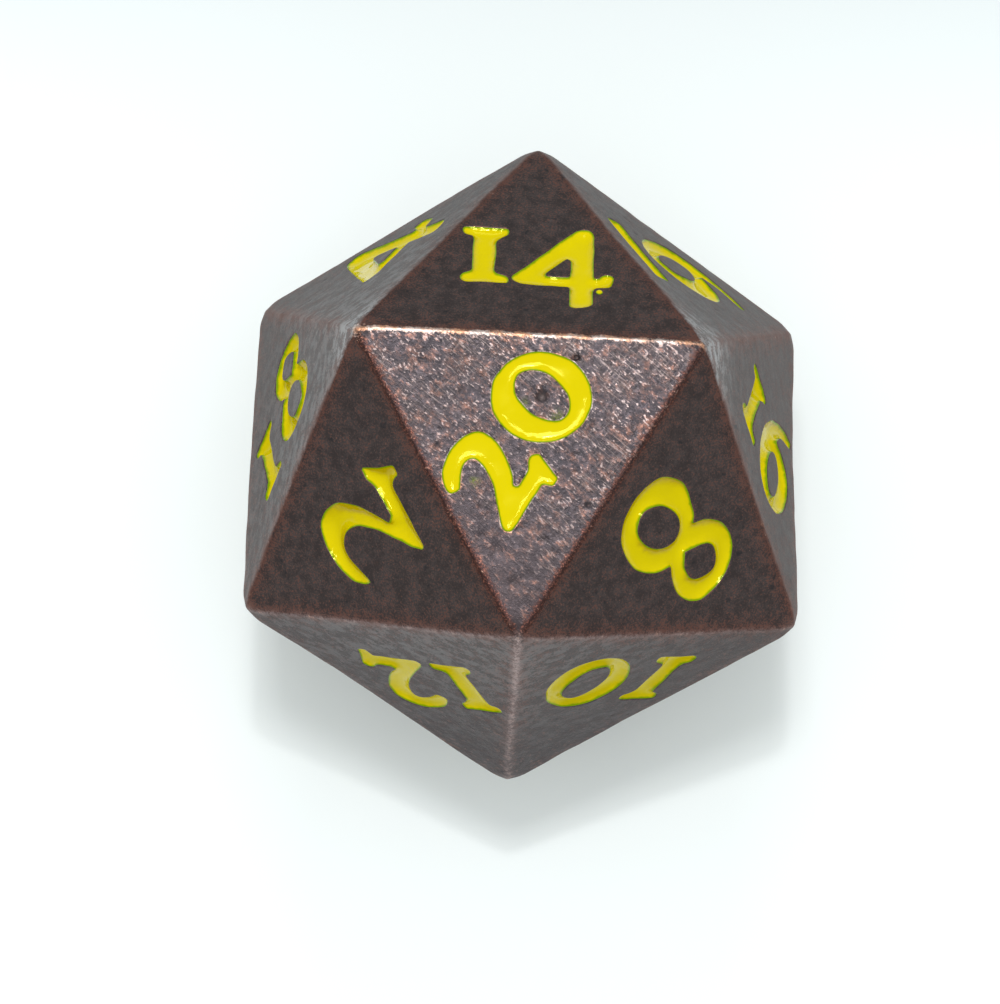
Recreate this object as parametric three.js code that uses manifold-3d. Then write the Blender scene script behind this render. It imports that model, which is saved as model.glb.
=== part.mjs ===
// A cast metal twenty-sided die with its numerals engraved and filled with poured enamel.
// Millimetres. The die lies on its face 1 with face 20 up; the origin is the middle of its footprint.
import * as THREE from 'three';
import { ConvexGeometry } from 'three/addons/geometries/ConvexGeometry.js';
import { mergeVertices } from 'three/addons/utils/BufferGeometryUtils.js';
import Module from 'manifold-3d';

const ACROSS_FLATS = 20;
const EDGE_RADIUS = 0.6;
const POCKET_DEPTH = 0.5;
// The enamel has shrunk this far below the face, and is this far from the metal all round.
const ENAMEL_RECESS = 0.1;
const ENAMEL_GAP = 0.03;
// Steps per control point on a curved outline, and round an oval.
const CURVE_STEPS = 1;
const OVAL_STEPS = 16;
// How far a pocket's cutter stands above the face it cuts.
const CUTTER_PROUD = 1;

// Size of the figures: 1 on the faces with two of them, larger on the faces with a single one.
const PAIR = 1;
const SINGLE = 1.2;
const UNDERLINED = 1.04;

const INRADIUS = ACROSS_FLATS / 2;
const EDGE = (INRADIUS * 12) / (Math.sqrt(3) * (3 + Math.sqrt(5)));
const GOLDEN = (1 + Math.sqrt(5)) / 2;
const CAP_RADIUS = EDGE / Math.sqrt(3);
const BELT_RADIUS = CAP_RADIUS * GOLDEN;
const BELT_HEIGHT = INRADIUS * (Math.sqrt(5) - 2);
// Two faces that share an edge have normals 42 degrees apart, and no other two are as close.
const NEIGHBOUR_DOT = 0.7;
// Points of an outline closer than this are one point, and so are corners of a solid.
const SAME_POINT = 1e-4;

function corner(radius, degrees, height) {
  const angle = THREE.MathUtils.degToRad(degrees);
  return new THREE.Vector3(radius * Math.cos(angle), radius * Math.sin(angle), height);
}

// The sharp corners of the icosahedron about its own centre: the top face, then the belt below it.
const CORNERS = {
  topLeft: corner(CAP_RADIUS, 150, INRADIUS),
  topRight: corner(CAP_RADIUS, 30, INRADIUS),
  topFront: corner(CAP_RADIUS, 270, INRADIUS),
  upperBack: corner(BELT_RADIUS, 90, BELT_HEIGHT),
  upperLeft: corner(BELT_RADIUS, 210, BELT_HEIGHT),
  upperRight: corner(BELT_RADIUS, 330, BELT_HEIGHT),
  lowerFront: corner(BELT_RADIUS, 270, -BELT_HEIGHT),
  lowerRight: corner(BELT_RADIUS, 30, -BELT_HEIGHT),
  lowerLeft: corner(BELT_RADIUS, 150, -BELT_HEIGHT),
  bottomRight: corner(CAP_RADIUS, 330, -INRADIUS),
  bottomLeft: corner(CAP_RADIUS, 210, -INRADIUS),
  bottomBack: corner(CAP_RADIUS, 90, -INRADIUS),
};

// Each face's corners, the one that its number points to first. Opposite faces add up to 21.
const FACES = {
  20: ['topLeft', 'topRight', 'topFront'],
  14: ['upperBack', 'topLeft', 'topRight'],
  2: ['upperLeft', 'topLeft', 'topFront'],
  8: ['upperRight', 'topRight', 'topFront'],
  4: ['lowerLeft', 'upperBack', 'topLeft'],
  6: ['lowerRight', 'upperBack', 'topRight'],
  18: ['lowerLeft', 'topLeft', 'upperLeft'],
  16: ['lowerRight', 'topRight', 'upperRight'],
  12: ['lowerFront', 'topFront', 'upperLeft'],
  10: ['lowerFront', 'topFront', 'upperRight'],
  1: ['bottomRight', 'bottomLeft', 'bottomBack'],
  7: ['lowerFront', 'bottomRight', 'bottomLeft'],
  19: ['lowerRight', 'bottomRight', 'bottomBack'],
  13: ['lowerLeft', 'bottomLeft', 'bottomBack'],
  17: ['upperRight', 'lowerFront', 'bottomRight'],
  15: ['upperLeft', 'lowerFront', 'bottomLeft'],
  3: ['upperRight', 'bottomRight', 'lowerRight'],
  5: ['upperLeft', 'bottomLeft', 'lowerLeft'],
  9: ['upperBack', 'bottomBack', 'lowerRight'],
  11: ['upperBack', 'bottomBack', 'lowerLeft'],
};

// Where each figure stands on its face: figure, left edge, baseline, from the middle of the face.
const NUMBERS = {
  20: { size: PAIR, figures: [['twoHeavy', -3.39, -1.5], ['zero', -0.2, -1.53]] },
  14: { size: PAIR, figures: [['one', -2.75, -0.85], ['four', -0.78, -0.73]] },
  2: { size: SINGLE, figures: [['two', -1.9, -1.95]] },
  8: { size: SINGLE, figures: [['eight', -1.88, -2.61]] },
  4: { size: SINGLE, figures: [['four', -1.75, -0.63]] },
  6: { size: UNDERLINED, figures: [['six', -2.15, -1.56]] },
  18: { size: PAIR, figures: [['one', -2.86, -1.95], ['eight', -0.52, -1.83]] },
  16: { size: PAIR, figures: [['one', -2.51, -1.95], ['six', -0.28, -2.33]] },
  12: { size: PAIR, figures: [['one', -2.86, -1.28], ['twoHeavy', -0.52, -1.33]] },
  10: { size: PAIR, figures: [['one', -3.05, -2.1], ['zero', -0.6, -2.15]] },
  1: { size: SINGLE, figures: [['one', -1.1, -1.95]] },
  7: { size: SINGLE, figures: [['seven', -1.85, -1.1]] },
  19: { size: PAIR, figures: [['one', -2.75, -1.0], ['nine', -0.45, -1.0]] },
  13: { size: PAIR, figures: [['one', -2.7, -0.95], ['three', -0.45, -0.95]] },
  17: { size: PAIR, figures: [['one', -2.75, -0.95], ['seven', -0.45, -0.95]] },
  15: { size: PAIR, figures: [['one', -2.7, -0.95], ['five', -0.45, -0.95]] },
  3: { size: SINGLE, figures: [['three', -1.65, -1.05]] },
  5: { size: SINGLE, figures: [['five', -1.6, -1.05]] },
  9: { size: UNDERLINED, figures: [['nine', -1.79, 0.21]] },
  11: { size: PAIR, figures: [['one', -2.3, -1.6], ['one', 0.45, -1.6]] },
};

// The bar that tells 6 from 9: left, right, bottom and top on the face.
const UNDERLINES = {
  6: [-2.2, 1.7, -2.85, -2.07],
  9: [-1.95, 1.95, -2.85, -2.07],
};

// A contour is a ring of runs that meet at corners. A run of one point is a straight line to it,
// and a longer run is a smooth curve through its points.
function contour(runs) {
  const path = new THREE.Path().moveTo(...runs.at(-1).at(-1));
  for (const run of runs) {
    if (run.length === 1) path.lineTo(...run[0]);
    else path.splineThru(run.map(([x, y]) => new THREE.Vector2(x, y)));
  }
  return path;
}

function oval(x, y, halfWidth, halfHeight, leanDegrees) {
  const lean = THREE.MathUtils.degToRad(leanDegrees);
  const curve = new THREE.EllipseCurve(x, y, halfWidth, halfHeight, 0, 2 * Math.PI, false, lean);
  return new THREE.Path(curve.getPoints(OVAL_STEPS));
}

// The points of a closed path, anticlockwise round an outline and clockwise round a hole,
// so that the figure is always on the left of its edge.
function ring(path, isHole) {
  const points = path.getPoints(CURVE_STEPS);
  if (points[0].distanceTo(points.at(-1)) < SAME_POINT) points.pop();
  if (THREE.ShapeUtils.isClockWise(points) !== isHole) points.reverse();
  return points;
}

// A figure is its rings, the outline first.
function figure(outline, holes = []) {
  return [ring(outline, false), ...holes.map((hole) => ring(hole, true))];
}

// Old-style seriffed figures: 0, 1 and 2 stand on the baseline, 6 and 8 rise above, the rest hang below.
const zero = () => figure(
  oval(1.72, 1.83, 1.7, 1.88, 30),
  [oval(1.79, 1.84, 0.79, 1.19, -8)],
);

const one = () => figure(
  contour([
    [[0.08, 3.25]],
    [[1.7, 3.25]],
    [[1.8, 3.1], [1.74, 2.86], [1.55, 2.76], [1.33, 2.5]],
    [[1.29, 0.95]],
    [[1.34, 0.6], [1.7, 0.44], [1.86, 0.28], [1.84, 0.02]],
    [[0.95, 0.05], [0.2, 0.02]],
    [[0.02, 0.2], [0.12, 0.5], [0.42, 0.66], [0.46, 0.95]],
    [[0.46, 2.45]],
    [[0.4, 2.75], [0.12, 2.86], [0.02, 3.08], [0.08, 3.25]],
  ]),
);

const two = () => figure(
  contour([
    [
      [0.63, 2.83], [1.13, 2.96], [1.5, 2.9], [1.77, 2.6],
      [1.76, 2.05], [1.23, 1.28], [0.39, 0.51], [0.02, 0.1],
    ],
    [[0.08, 0]],
    [[2.25, 0.01]],
    [[2.4, -0.15], [2.43, -0.38]],
    [[2.76, -0.38]],
    [[2.88, 0], [3.22, 0.8]],
    [[2.83, 0.83]],
    [[2.66, 0.72], [2.4, 0.63], [1.45, 0.58]],
    [[1.28, 0.82]],
    [
      [1.64, 1.1], [2.42, 1.82], [2.74, 2.59], [2.48, 3.33],
      [1.64, 3.58], [0.63, 3.37], [0.12, 2.92], [0.04, 2.6],
    ],
  ]),
);

const twoHeavy = () => figure(
  contour([
    [
      [0.97, 2.81], [1.4, 2.88], [1.67, 2.6], [1.44, 1.89],
      [0.71, 1.05], [0.02, 0.39], [0.02, 0.1], [0.2, 0.02],
    ],
    [[2.15, 0.02]],
    [[2.31, -0.37]],
    [[2.66, -0.38]],
    [[2.86, 0.21], [3.07, 0.72]],
    [[2.85, 0.92], [2.6, 0.9], [2.3, 0.73], [1.63, 0.71]],
    [[1.52, 0.9]],
    [[2.02, 1.31], [2.57, 2.26], [2.55, 3.1], [1.71, 3.57], [0.63, 3.44], [0.07, 2.82], [0.38, 2.5]],
  ]),
);

const three = () => figure(
  contour([
    [[0.35, 3.2], [1.3, 3.57], [2.2, 3.35], [2.45, 2.6], [1.95, 1.85]],
    [[2.6, 1.2], [2.75, 0.2], [2.2, -0.95], [1.1, -1.5], [0.2, -1.42], [0, -1.1], [0.25, -0.9]],
    [[1.1, -0.82], [1.75, -0.2], [1.8, 0.6], [1.3, 1.15], [0.75, 1.25]],
    [[0.78, 1.68]],
    [[1.35, 1.95], [1.62, 2.5], [1.3, 2.95], [0.75, 2.88], [0.45, 2.62], [0.15, 2.75]],
  ]),
);

const four = () => figure(
  contour([
    [[2.43, 3.18], [2.7, 3.28], [2.98, 3.2], [3.12, 2.9]],
    [[3.11, 0.4]],
    [[3.3, 0.38]],
    [[3.42, 0.57], [3.63, 0.63], [3.86, 0.52], [3.84, 0.2], [3.74, -0.1]],
    [[3.15, -0.19]],
    [[3.09, -0.4]],
    [[3.08, -1.15]],
    [[2.88, -1.31], [2.48, -1.39], [2.26, -1.34], [2.21, -1.15]],
    [[2.21, -0.13]],
    [[0.38, -0.08]],
    [[0.08, 0.08], [0, 0.28], [0.16, 0.5]],
    [[2.22, 2.96]],
  ]),
  [contour([[[2.24, 0.42]], [[1.3, 0.4]], [[1.27, 0.58]], [[2.1, 1.57]], [[2.27, 1.42]]])],
);

const five = () => figure(
  contour([
    [[0.6, 3.42]],
    [[2.15, 3.42]],
    [[2.62, 3.6]],
    [[2.45, 2.72]],
    [[0.95, 2.72]],
    [[0.88, 2.1]],
    [[1.6, 2.05], [2.45, 1.45], [2.65, 0.4], [2.05, -0.9], [0.9, -1.53], [0.12, -1.5], [0.05, -1.12]],
    [[0.95, -0.85], [1.65, -0.05], [1.6, 0.95], [0.95, 1.38], [0.28, 1.3]],
  ]),
);

const six = () => figure(
  contour([
    [
      [1.78, 4.84], [0.75, 3.95], [0.08, 2.7], [0.1, 1.3], [0.72, 0.3], [1.75, 0.01],
      [2.85, 0.6], [3.38, 1.75], [3.2, 2.95], [2.4, 3.46], [1.35, 3.38],
    ],
    [[1.68, 4.15], [2.67, 4.86]],
    [[2.6, 5.15]],
  ]),
  [oval(1.7, 1.62, 0.68, 1.06, 10)],
);

const seven = () => figure(
  contour([
    [[0.1, 3.5]],
    [[0.4, 3.36], [1.6, 3.35], [3.05, 3.35]],
    [[3.1, 3.05]],
    [[2.3, 1.3], [1.6, -0.5], [1.42, -1.4]],
    [[0.62, -1.4]],
    [[0.85, -0.5], [1.5, 1.1], [2.25, 2.55]],
    [[0.65, 2.55]],
    [[0.42, 2.5], [0.25, 2.2]],
    [[0, 2.25]],
  ]),
);

const eight = () => figure(
  contour([
    [
      [2.7, 3.04], [2.97, 3.68], [2.62, 4.43], [1.63, 4.71],
      [0.68, 4.38], [0.26, 3.58], [0.49, 2.87], [0.87, 2.5],
    ],
    [
      [0.5, 2.22], [0.01, 1.25], [0.38, 0.33], [1.55, 0],
      [2.64, 0.39], [3.11, 1.35], [2.9, 2.2], [2.36, 2.66],
    ],
  ]),
  [
    contour([[[2.18, 3.22], [2.25, 3.75], [1.6, 4.21], [1.04, 3.75], [1.2, 3.28], [1.74, 2.83]]]),
    oval(1.61, 1.41, 0.7, 0.86, 12),
  ],
);

// The nine is the six turned half round, and hangs below the line.
const nine = () => six().map((points) => points.map((p) => new THREE.Vector2(3.45 - p.x, 3.55 - p.y)));

const FIGURES = { zero, one, two, twoHeavy, three, four, five, six, seven, eight, nine };

function barRings(left, right, bottom, top) {
  return figure(contour([[[left, bottom]], [[right, bottom]], [[right, top]], [[left, top]]]));
}

function placedRings(name, left, baseline, size) {
  const offset = new THREE.Vector2(left, baseline);
  return FIGURES[name]().map((points) => points.map((p) => p.clone().multiplyScalar(size).add(offset)));
}

// Each point moved to the left of the ring's direction, which makes the figure thinner.
function inset(points, distance) {
  const leftOf = (from, to) => new THREE.Vector2(from.y - to.y, to.x - from.x).normalize();
  return points.map((point, i) => {
    const next = points[(i + 1) % points.length];
    const bisector = leftOf(points.at(i - 1), point).add(leftOf(point, next));
    return point.clone().addScaledVector(bisector, (2 * distance) / bisector.lengthSq());
  });
}

// A straight-sided solid between two depths below the face, which lies at z = 0.
function prism([outline, ...holes], deepest, shallowest) {
  const shape = new THREE.Shape(outline);
  shape.holes = holes.map((hole) => new THREE.Path(hole));
  const geometry = new THREE.ExtrudeGeometry(shape, { depth: deepest - shallowest, bevelEnabled: false });
  return geometry.translate(0, 0, -deepest);
}

// A group that lies on the face: z out of the metal, y towards the corner the number points to.
function faceGroup(number) {
  const corners = FACES[number].map((name) => CORNERS[name]);
  const middle = new THREE.Vector3().add(corners[0]).add(corners[1]).add(corners[2]).divideScalar(3);
  const outward = middle.clone().normalize();
  const up = corners[0].clone().sub(middle).normalize();
  const right = new THREE.Vector3().crossVectors(up, outward);
  const group = new THREE.Group();
  group.position.copy(middle);
  group.quaternion.setFromRotationMatrix(new THREE.Matrix4().makeBasis(right, up, outward));
  return group;
}

// The blank: flat faces between rounded edges and corners, as the hull of points round each corner.
function blankGeometry() {
  const inner = (INRADIUS - EDGE_RADIUS) / INRADIUS;
  const faces = Object.values(FACES);
  const outwardOf = (names) => {
    const sum = new THREE.Vector3();
    for (const name of names) sum.add(CORNERS[name]);
    return sum.normalize();
  };
  const points = [];
  for (const [name, position] of Object.entries(CORNERS)) {
    const centre = position.clone().multiplyScalar(inner);
    const normals = faces.filter((names) => names.includes(name)).map(outwardOf);
    const directions = [...normals, position.clone().normalize()];
    normals.forEach((a, i) => {
      const neighbours = normals.slice(i + 1).filter((b) => a.dot(b) > NEIGHBOUR_DOT);
      for (const b of neighbours) directions.push(a.clone().add(b).normalize());
    });
    for (const direction of directions) points.push(centre.clone().addScaledVector(direction, EDGE_RADIUS));
  }
  return new ConvexGeometry(points);
}

const wasm = await Module();
wasm.setup();

function solidOf(geometry) {
  const bare = new THREE.BufferGeometry().setAttribute('position', geometry.attributes.position);
  const merged = mergeVertices(bare, SAME_POINT);
  const vertProperties = merged.attributes.position.array;
  const triVerts = new Uint32Array(merged.index.array);
  return new wasm.Manifold(new wasm.Mesh({ numProp: 3, vertProperties, triVerts }));
}

function geometryOf(solid) {
  const mesh = solid.getMesh();
  const geometry = new THREE.BufferGeometry();
  geometry.setAttribute('position', new THREE.BufferAttribute(mesh.vertProperties, mesh.numProp));
  geometry.setIndex(new THREE.BufferAttribute(mesh.triVerts, 1));
  const faceted = geometry.toNonIndexed();
  faceted.computeVertexNormals();
  return faceted;
}

const platedMetal = () => new THREE.MeshStandardMaterial({ color: 0x5b4c46, roughness: 0.42, metalness: 0.9 });
const yellowEnamel = () => new THREE.MeshStandardMaterial({ color: 0xe0d200, roughness: 0.12, metalness: 0 });

// The names and rings of everything engraved on a face.
function engravings(number) {
  const { size, figures } = NUMBERS[number];
  const label = `enamel_${String(number).padStart(2, '0')}`;
  const names = figures.length === 2 ? [`${label}_tens`, `${label}_units`] : [label];
  const list = figures.map(([figureName, left, baseline], i) => ({
    name: names[i],
    rings: placedRings(figureName, left, baseline, size),
  }));
  if (UNDERLINES[number]) list.push({ name: `${label}_underline`, rings: barRings(...UNDERLINES[number]) });
  return list;
}

const die = new THREE.Group();
die.position.z = INRADIUS;

let body = solidOf(blankGeometry());
for (const number of Object.keys(NUMBERS)) {
  const face = faceGroup(number);
  face.updateMatrix();
  for (const { name, rings } of engravings(number)) {
    const pocket = prism(rings, POCKET_DEPTH, -CUTTER_PROUD).applyMatrix4(face.matrix);
    body = body.subtract(solidOf(pocket));

    const fillRings = rings.map((points) => inset(points, ENAMEL_GAP));
    const fill = new THREE.Mesh(prism(fillRings, POCKET_DEPTH - ENAMEL_GAP, ENAMEL_RECESS), yellowEnamel());
    fill.name = name;
    face.add(fill);
  }
  die.add(face);
}

const dieBody = new THREE.Mesh(geometryOf(body), platedMetal());
dieBody.name = 'die_body';
die.add(dieBody);

const object = new THREE.Group();
object.add(die);

export default object;
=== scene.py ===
import math

import bpy
import numpy as np
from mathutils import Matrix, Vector, noise
from mathutils.geometry import delaunay_2d_cdt


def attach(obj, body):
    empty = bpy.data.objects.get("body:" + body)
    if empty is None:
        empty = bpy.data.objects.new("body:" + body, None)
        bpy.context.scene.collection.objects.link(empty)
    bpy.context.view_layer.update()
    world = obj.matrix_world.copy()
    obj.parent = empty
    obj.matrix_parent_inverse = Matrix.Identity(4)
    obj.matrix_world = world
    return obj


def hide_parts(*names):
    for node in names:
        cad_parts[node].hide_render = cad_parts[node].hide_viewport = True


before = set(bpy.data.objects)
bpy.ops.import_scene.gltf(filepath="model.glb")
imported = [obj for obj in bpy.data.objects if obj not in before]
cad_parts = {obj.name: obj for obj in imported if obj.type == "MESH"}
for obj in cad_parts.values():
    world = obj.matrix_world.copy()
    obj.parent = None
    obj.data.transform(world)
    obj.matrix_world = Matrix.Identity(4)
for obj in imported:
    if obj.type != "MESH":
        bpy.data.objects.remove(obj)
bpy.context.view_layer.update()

# A cast metal twenty-sided die, its numerals engraved and filled with glossy enamel.
# Lengths are in millimetres from the middle of the die until a mesh is made, and then in metres
# in the frame, where the die lies on its face 1 with face 20 up.
MM = 0.001
INRADIUS = 10.0
EDGE_RADIUS = 0.24
POCKET_DEPTH = 0.5

# How finely the meshes are divided: along an outline while it is shaped and once it is drawn, round an
# edge and along it, and over a face, the top face and the enamel.
FINE_STEP = 0.03
RING_STEP = 0.1
FILLET_STEPS = 4
EDGE_STEPS = 56
FACE_STEP = 0.27
TOP_FACE_STEP = 0.2
ENAMEL_STEP = 0.12
# How far the points of a lattice are strewn, in steps.
JITTER = 0.14
# Points of two patches are one where they round to the same multiple of this.
WELD = 1.37e-5

# All randomness is seeded. Blender's noise vectors start from random places, unless they are seeded too.
rng = np.random.default_rng(20)
noise.seed_set(20)

# ------------------------------ the icosahedron

GOLDEN = (1 + math.sqrt(5)) / 2
EDGE = INRADIUS * 12 / (math.sqrt(3) * (3 + math.sqrt(5)))
CAP_RADIUS = EDGE / math.sqrt(3)
BELT_RADIUS = CAP_RADIUS * GOLDEN
BELT_HEIGHT = INRADIUS * (math.sqrt(5) - 2)


def corner(radius, degrees, height):
    """A point of the sharp icosahedron."""
    angle = math.radians(degrees)
    return np.array([radius * math.cos(angle), radius * math.sin(angle), height])


CORNERS = {
    "topLeft": corner(CAP_RADIUS, 150, INRADIUS),
    "topRight": corner(CAP_RADIUS, 30, INRADIUS),
    "topFront": corner(CAP_RADIUS, 270, INRADIUS),
    "upperBack": corner(BELT_RADIUS, 90, BELT_HEIGHT),
    "upperLeft": corner(BELT_RADIUS, 210, BELT_HEIGHT),
    "upperRight": corner(BELT_RADIUS, 330, BELT_HEIGHT),
    "lowerFront": corner(BELT_RADIUS, 270, -BELT_HEIGHT),
    "lowerRight": corner(BELT_RADIUS, 30, -BELT_HEIGHT),
    "lowerLeft": corner(BELT_RADIUS, 150, -BELT_HEIGHT),
    "bottomRight": corner(CAP_RADIUS, 330, -INRADIUS),
    "bottomLeft": corner(CAP_RADIUS, 210, -INRADIUS),
    "bottomBack": corner(CAP_RADIUS, 90, -INRADIUS),
}

# Each face's corners, the one that its number points to first.
FACES = {
    20: ("topLeft", "topRight", "topFront"),
    14: ("upperBack", "topLeft", "topRight"),
    2: ("upperLeft", "topLeft", "topFront"),
    8: ("upperRight", "topRight", "topFront"),
    4: ("lowerLeft", "upperBack", "topLeft"),
    6: ("lowerRight", "upperBack", "topRight"),
    18: ("lowerLeft", "topLeft", "upperLeft"),
    16: ("lowerRight", "topRight", "upperRight"),
    12: ("lowerFront", "topFront", "upperLeft"),
    10: ("lowerFront", "topFront", "upperRight"),
    1: ("bottomRight", "bottomLeft", "bottomBack"),
    7: ("lowerFront", "bottomRight", "bottomLeft"),
    19: ("lowerRight", "bottomRight", "bottomBack"),
    13: ("lowerLeft", "bottomLeft", "bottomBack"),
    17: ("upperRight", "lowerFront", "bottomRight"),
    15: ("upperLeft", "lowerFront", "bottomLeft"),
    3: ("upperRight", "bottomRight", "lowerRight"),
    5: ("upperLeft", "bottomLeft", "lowerLeft"),
    9: ("upperBack", "bottomBack", "lowerRight"),
    11: ("upperBack", "bottomBack", "lowerLeft"),
}

# Where each figure stands on its face: size, then figure, left edge and baseline from the middle.
NUMBERS = {
    20: (1, [("twoHeavy", -3.39, -1.5), ("zero", -0.2, -1.53)]),
    14: (1, [("one", -2.75, -0.85), ("four", -0.78, -0.73)]),
    2: (1.2, [("two", -1.9, -1.95)]),
    8: (1.2, [("eight", -1.88, -2.61)]),
    4: (1.2, [("four", -1.75, -0.63)]),
    6: (1.04, [("six", -2.15, -1.56)]),
    18: (1, [("one", -2.86, -1.95), ("eight", -0.52, -1.83)]),
    16: (1, [("one", -2.51, -1.95), ("six", -0.28, -2.33)]),
    12: (1, [("one", -2.86, -1.28), ("twoHeavy", -0.52, -1.33)]),
    10: (1, [("one", -3.05, -2.1), ("zero", -0.6, -2.15)]),
    1: (1.2, [("one", -1.1, -1.95)]),
    7: (1.2, [("seven", -1.85, -1.1)]),
    19: (1, [("one", -2.75, -1.0), ("nine", -0.45, -1.0)]),
    13: (1, [("one", -2.7, -0.95), ("three", -0.45, -0.95)]),
    17: (1, [("one", -2.75, -0.95), ("seven", -0.45, -0.95)]),
    15: (1, [("one", -2.7, -0.95), ("five", -0.45, -0.95)]),
    3: (1.2, [("three", -1.65, -1.05)]),
    5: (1.2, [("five", -1.6, -1.05)]),
    9: (1.04, [("nine", -1.79, 0.21)]),
    11: (1, [("one", -2.3, -1.6), ("one", 0.45, -1.6)]),
}

# The bar that tells 6 from 9: left, right, bottom and top.
UNDERLINES = {6: (-2.2, 1.7, -2.85, -2.07), 9: (-1.95, 1.95, -2.85, -2.07)}

# How far the enamel has sunk in the middle of its channel; the faces not named here are in between.
FILL_LEVEL = {20: 0.07, 14: 0.2, 8: 0.23, 2: 0.36, 18: 0.36, 16: 0.32, 4: 0.24, 6: 0.26, 10: 0.26}
FILL_LEVEL_ELSEWHERE = 0.2
ENAMEL_RIM = 0.015
# How far from its walls the enamel still climbs up them, and how hollow that slope is.
MENISCUS = {20: (0.3, 3), 14: (0.24, 1.15), 8: (0.36, 2.2), 2: (0.4, 1.1)}
MENISCUS_ELSEWHERE = (0.3, 1.6)


def unit(v):
    return v / np.linalg.norm(v, axis=-1, keepdims=True)


def face_axes(number):
    """The middle of the sharp face and its x, y and outward directions as rows."""
    points = np.array([CORNERS[name] for name in FACES[number]])
    middle = points.mean(0)
    outward = unit(middle)
    up = unit(points[0] - middle)
    return middle, np.array([np.cross(up, outward), up, outward])


AXES = {number: face_axes(number) for number in FACES}


def from_face(number, local):
    """Points given on a face, and above it, as points of the die."""
    middle, axes = AXES[number]
    return local @ axes + middle


# ------------------------------ the figures

# How uneven a cast outline is, and how many times its corners are rounded off.
UNEVENNESS = 0.035
ROUNDINGS = 6
# A ring's corners run ahead of its sides when it is moved, but no further than this: 0.5 is not at all.
CORNER_REACH = 0.62


def contour(runs, steps=12):
    """A ring of runs that meet at corners: one point is a straight line, more are a smooth curve."""
    here = runs[-1][-1]
    points = []
    for run in runs:
        knots = np.array([here, *run], float)
        here = run[-1]
        if len(run) == 1:
            points.append(knots[0])
            continue
        ends = np.vstack([knots[:1], knots, knots[-1:]])
        for a, b, c, d in zip(ends, ends[1:], ends[2:], ends[3:]):
            for t in np.arange(steps) / steps:
                out, back = (c - a) / 2, (d - b) / 2
                points.append(
                    (2 * b - 2 * c + out + back) * t**3
                    + (3 * c - 3 * b - 2 * out - back) * t**2
                    + out * t
                    + b
                )
    return np.array(points)


def oval(x, y, half_width, half_height, lean):
    """A ring round a middle, turned anticlockwise by so many degrees."""
    angle = np.linspace(0, 2 * math.pi, 96, endpoint=False)
    across, along = half_width * np.cos(angle), half_height * np.sin(angle)
    c, s = math.cos(math.radians(lean)), math.sin(math.radians(lean))
    return np.column_stack([x + c * across - s * along, y + s * across + c * along])


SIX = [
    contour([
        [(1.78, 4.84), (0.75, 3.95), (0.08, 2.7), (0.1, 1.3), (0.72, 0.3), (1.75, 0.01),
         (2.85, 0.6), (3.38, 1.75), (3.2, 2.95), (2.4, 3.46), (1.35, 3.38)],
        [(1.68, 4.15), (2.67, 4.86)],
        [(2.6, 5.15)],
    ]),
    oval(1.7, 1.62, 0.68, 1.06, 10),
]

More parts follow.
